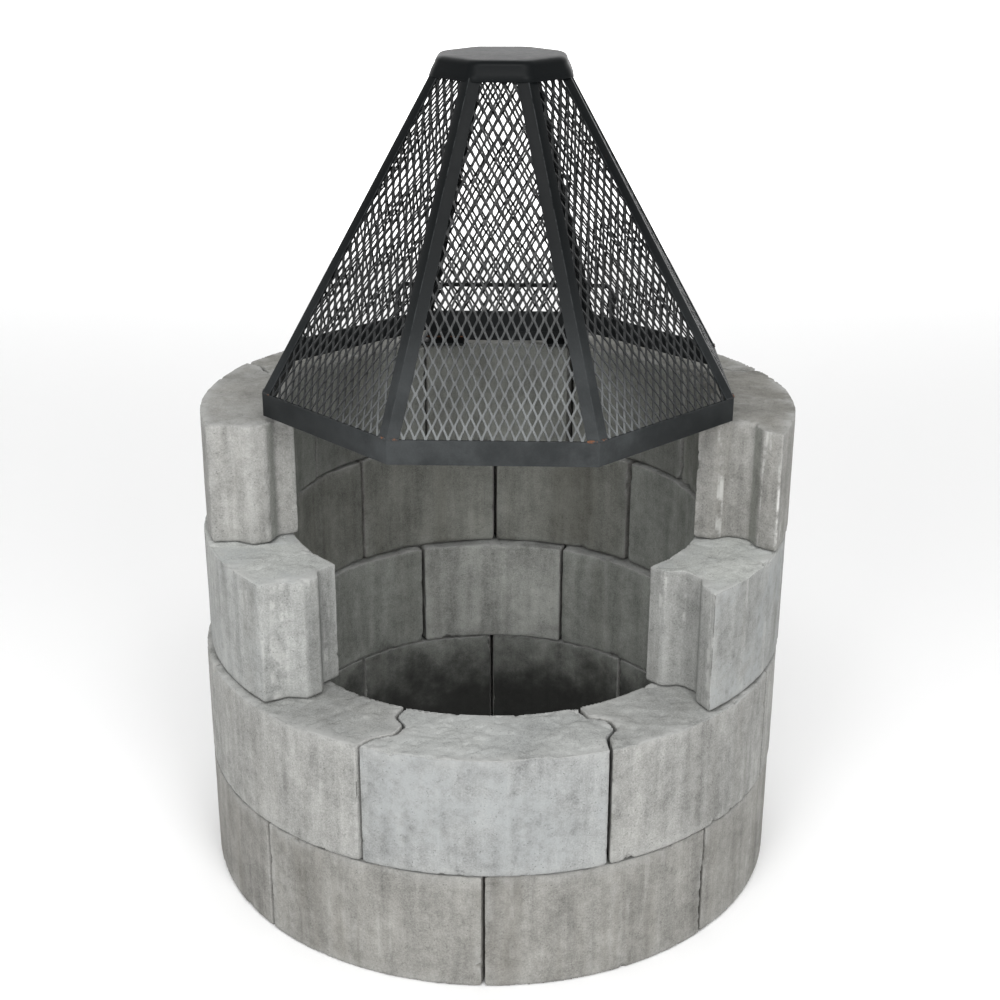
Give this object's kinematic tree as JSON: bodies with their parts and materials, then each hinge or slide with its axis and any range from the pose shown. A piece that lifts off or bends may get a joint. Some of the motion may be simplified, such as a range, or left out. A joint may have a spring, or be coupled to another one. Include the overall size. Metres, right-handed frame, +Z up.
{
  "type": "fire pit with spark hood",
  "caption": "Round outdoor fire pit of dry-stacked, interlocking curved concrete blocks with a front feed gap, covered by a lift-off octagonal spark hood of steel mesh.",
  "frame": {"origin": "centre of the block ring at ground level", "axes": "+Z up, the feed gap faces -Y, +X to the right seen from the front"},
  "size_m": [0.99, 1.004, 1.3512],
  "materials": {
    "concrete": "weathered cast concrete, light grey, pitted, with soot inside",
    "black_steel": "satin black heat-proof paint",
    "expanded_metal": "satin black painted expanded metal, worn grey at the strands"
  },
  "bodies": {
    "block_ring": {"course1_block1": "concrete", "course1_block2": "concrete", "course1_block3": "concrete", "course1_block4": "concrete", "course1_block5": "concrete", "course1_block6": "concrete", "course1_block7": "concrete", "course1_block8": "concrete", "course2_block1": "concrete", "course2_block2": "concrete", "course2_block3": "concrete", "course2_block4": "concrete", "course2_block5": "concrete", "course2_block6": "concrete", "course2_block7": "concrete", "course2_block8": "concrete", "course3_block1": "concrete", "course3_block2": "concrete", "course3_block3": "concrete", "course3_block4": "concrete", "course3_block5": "concrete", "course3_block6": "concrete", "course4_block1": "concrete", "course4_block2": "concrete", "course4_block3": "concrete", "course4_block4": "concrete", "course4_block5": "concrete"},
    "spark_hood": {"hood_base_band": "black_steel", "hood_cap": "black_steel", "hood_rear_handle": "black_steel", "hood_rib1": "black_steel", "hood_rib2": "black_steel", "hood_rib3": "black_steel", "hood_rib4": "black_steel", "hood_rib5": "black_steel", "hood_rib6": "black_steel", "hood_rib7": "black_steel", "hood_rib8": "black_steel", "hood_rear_bar": "black_steel", "hood_rear_foot_left": "black_steel", "hood_rear_foot_right": "black_steel", "hood_mesh_panel1": "expanded_metal", "hood_mesh_panel2": "expanded_metal", "hood_mesh_panel3": "expanded_metal", "hood_mesh_panel4": "expanded_metal", "hood_mesh_panel5": "expanded_metal", "hood_mesh_panel6": "expanded_metal", "hood_mesh_panel7": "expanded_metal", "hood_mesh_panel8": "expanded_metal"}
  },
  "joints": [
    {"name": "hood_lift", "type": "slide", "parent": "block_ring", "child": "spark_hood", "axis": [0, 0, 1], "range_m": [0, 0.3]}
  ]
}
